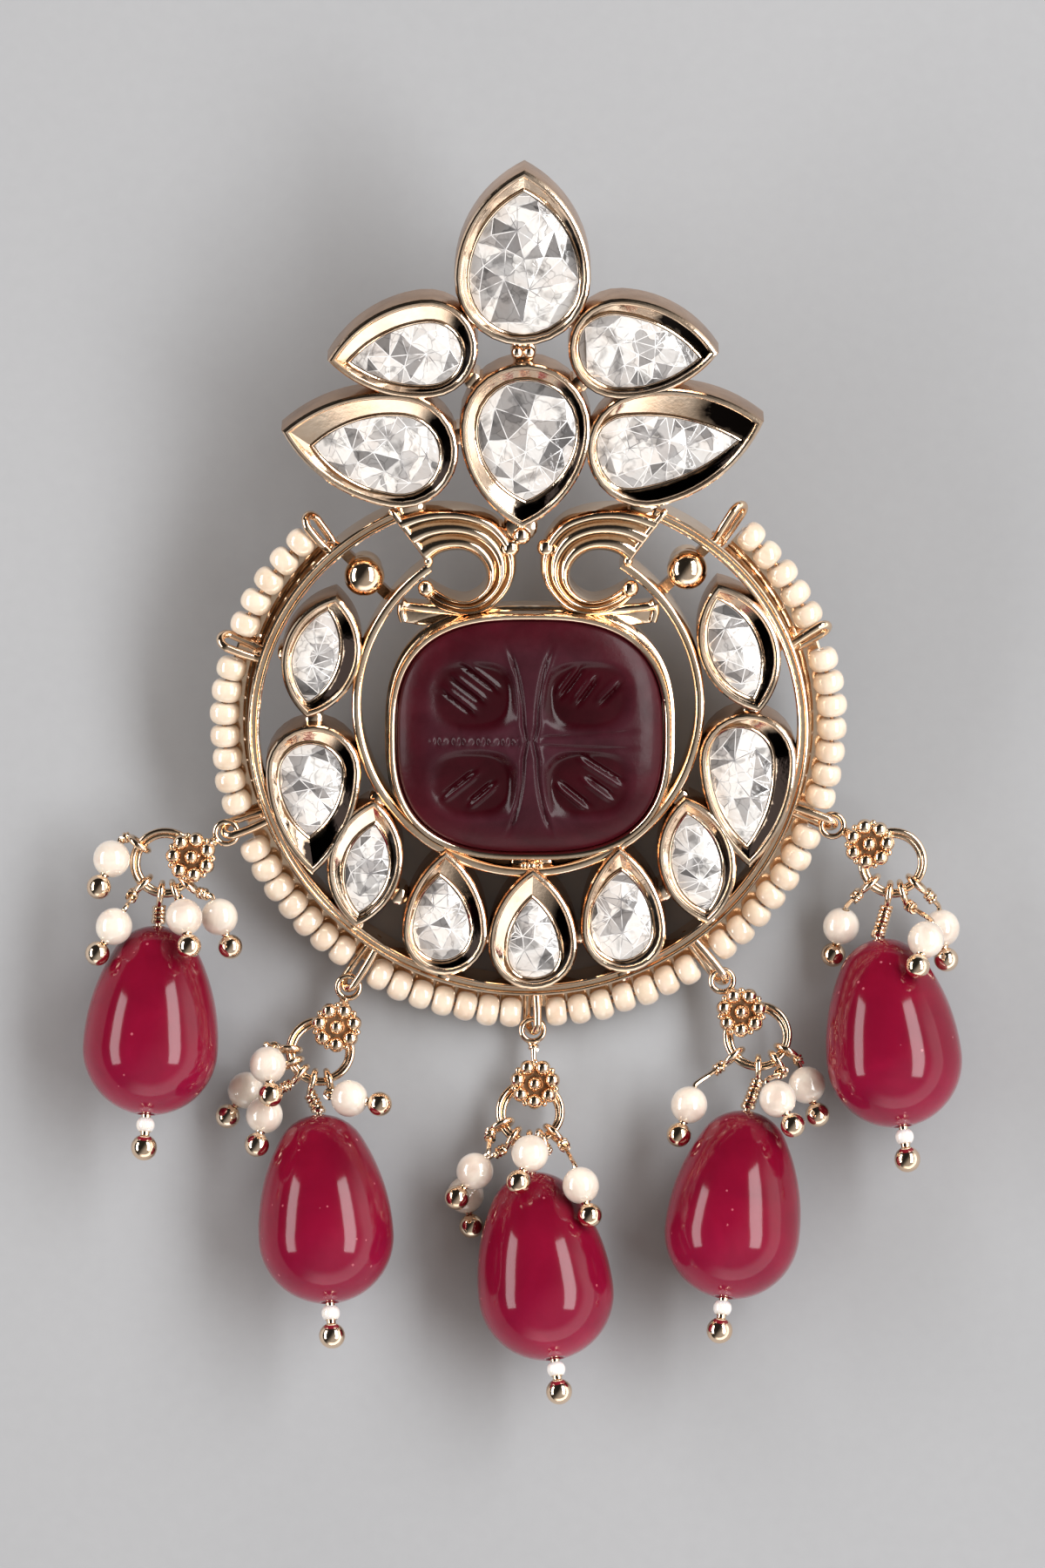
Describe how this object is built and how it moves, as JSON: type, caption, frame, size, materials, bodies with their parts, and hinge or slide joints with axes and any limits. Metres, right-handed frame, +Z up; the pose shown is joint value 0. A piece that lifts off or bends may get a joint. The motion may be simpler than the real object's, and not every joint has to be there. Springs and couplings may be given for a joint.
{
  "type": "dangle earring",
  "caption": "Dangle earring lying flat: a petal cluster of clear stones above an oval ring with a carved dark stone, a pearl edging, and hanging pearls and red teardrops.",
  "frame": {"origin": "centre of the bounding box, on the surface that the earring lies on", "axes": "+X across the earring to its right in front view, +Y towards the petal cluster at the ear end, +Z up from the surface through the face"},
  "size_m": [0.047, 0.0662, 0.0133],
  "materials": {
    "gold": "polished",
    "clear_stone": "foil-backed, faceted, polished",
    "dark_stone": "polished, carved",
    "red_drop": "polished",
    "seed_pearl": "pearly",
    "pearl": "pearly",
    "end_bead": "pearly"
  },
  "bodies": {
    "root": {"frame": "gold", "ear_post": "gold", "centre_stone": "dark_stone", "stone_top": "clear_stone", "stone_middle": "clear_stone", "stone_upper_left": "clear_stone", "stone_upper_right": "clear_stone", "stone_lower_left": "clear_stone", "stone_lower_right": "clear_stone", "stone_ring_1": "clear_stone", "stone_ring_2": "clear_stone", "stone_ring_3": "clear_stone", "stone_ring_4": "clear_stone", "stone_ring_5": "clear_stone", "stone_ring_6": "clear_stone", "stone_ring_7": "clear_stone", "stone_ring_8": "clear_stone", "stone_ring_9": "clear_stone", "seed_pearls_1": "seed_pearl", "seed_pearls_2": "seed_pearl", "seed_pearls_3": "seed_pearl", "seed_pearls_4": "seed_pearl", "seed_pearls_5": "seed_pearl", "seed_pearls_6": "seed_pearl", "seed_pearls_7": "seed_pearl", "seed_pearls_8": "seed_pearl", "connector_1": "gold", "connector_2": "gold", "connector_3": "gold", "connector_4": "gold", "connector_5": "gold", "jump_ring_1": "gold", "jump_ring_2": "gold", "jump_ring_3": "gold", "jump_ring_4": "gold", "jump_ring_5": "gold", "dangle_pins_1": "gold", "dangle_pins_2": "gold", "dangle_pins_3": "gold", "dangle_pins_4": "gold", "dangle_pins_5": "gold", "dangle_pearls_1": "pearl", "dangle_pearls_2": "pearl", "dangle_pearls_3": "pearl", "dangle_pearls_4": "pearl", "dangle_pearls_5": "pearl", "drop_1": "red_drop", "drop_2": "red_drop", "drop_3": "red_drop", "drop_4": "red_drop", "drop_5": "red_drop", "drop_pin_1": "gold", "drop_pin_2": "gold", "drop_pin_3": "gold", "drop_pin_4": "gold", "drop_pin_5": "gold", "end_beads": "end_bead"}
  },
  "joints": []
}
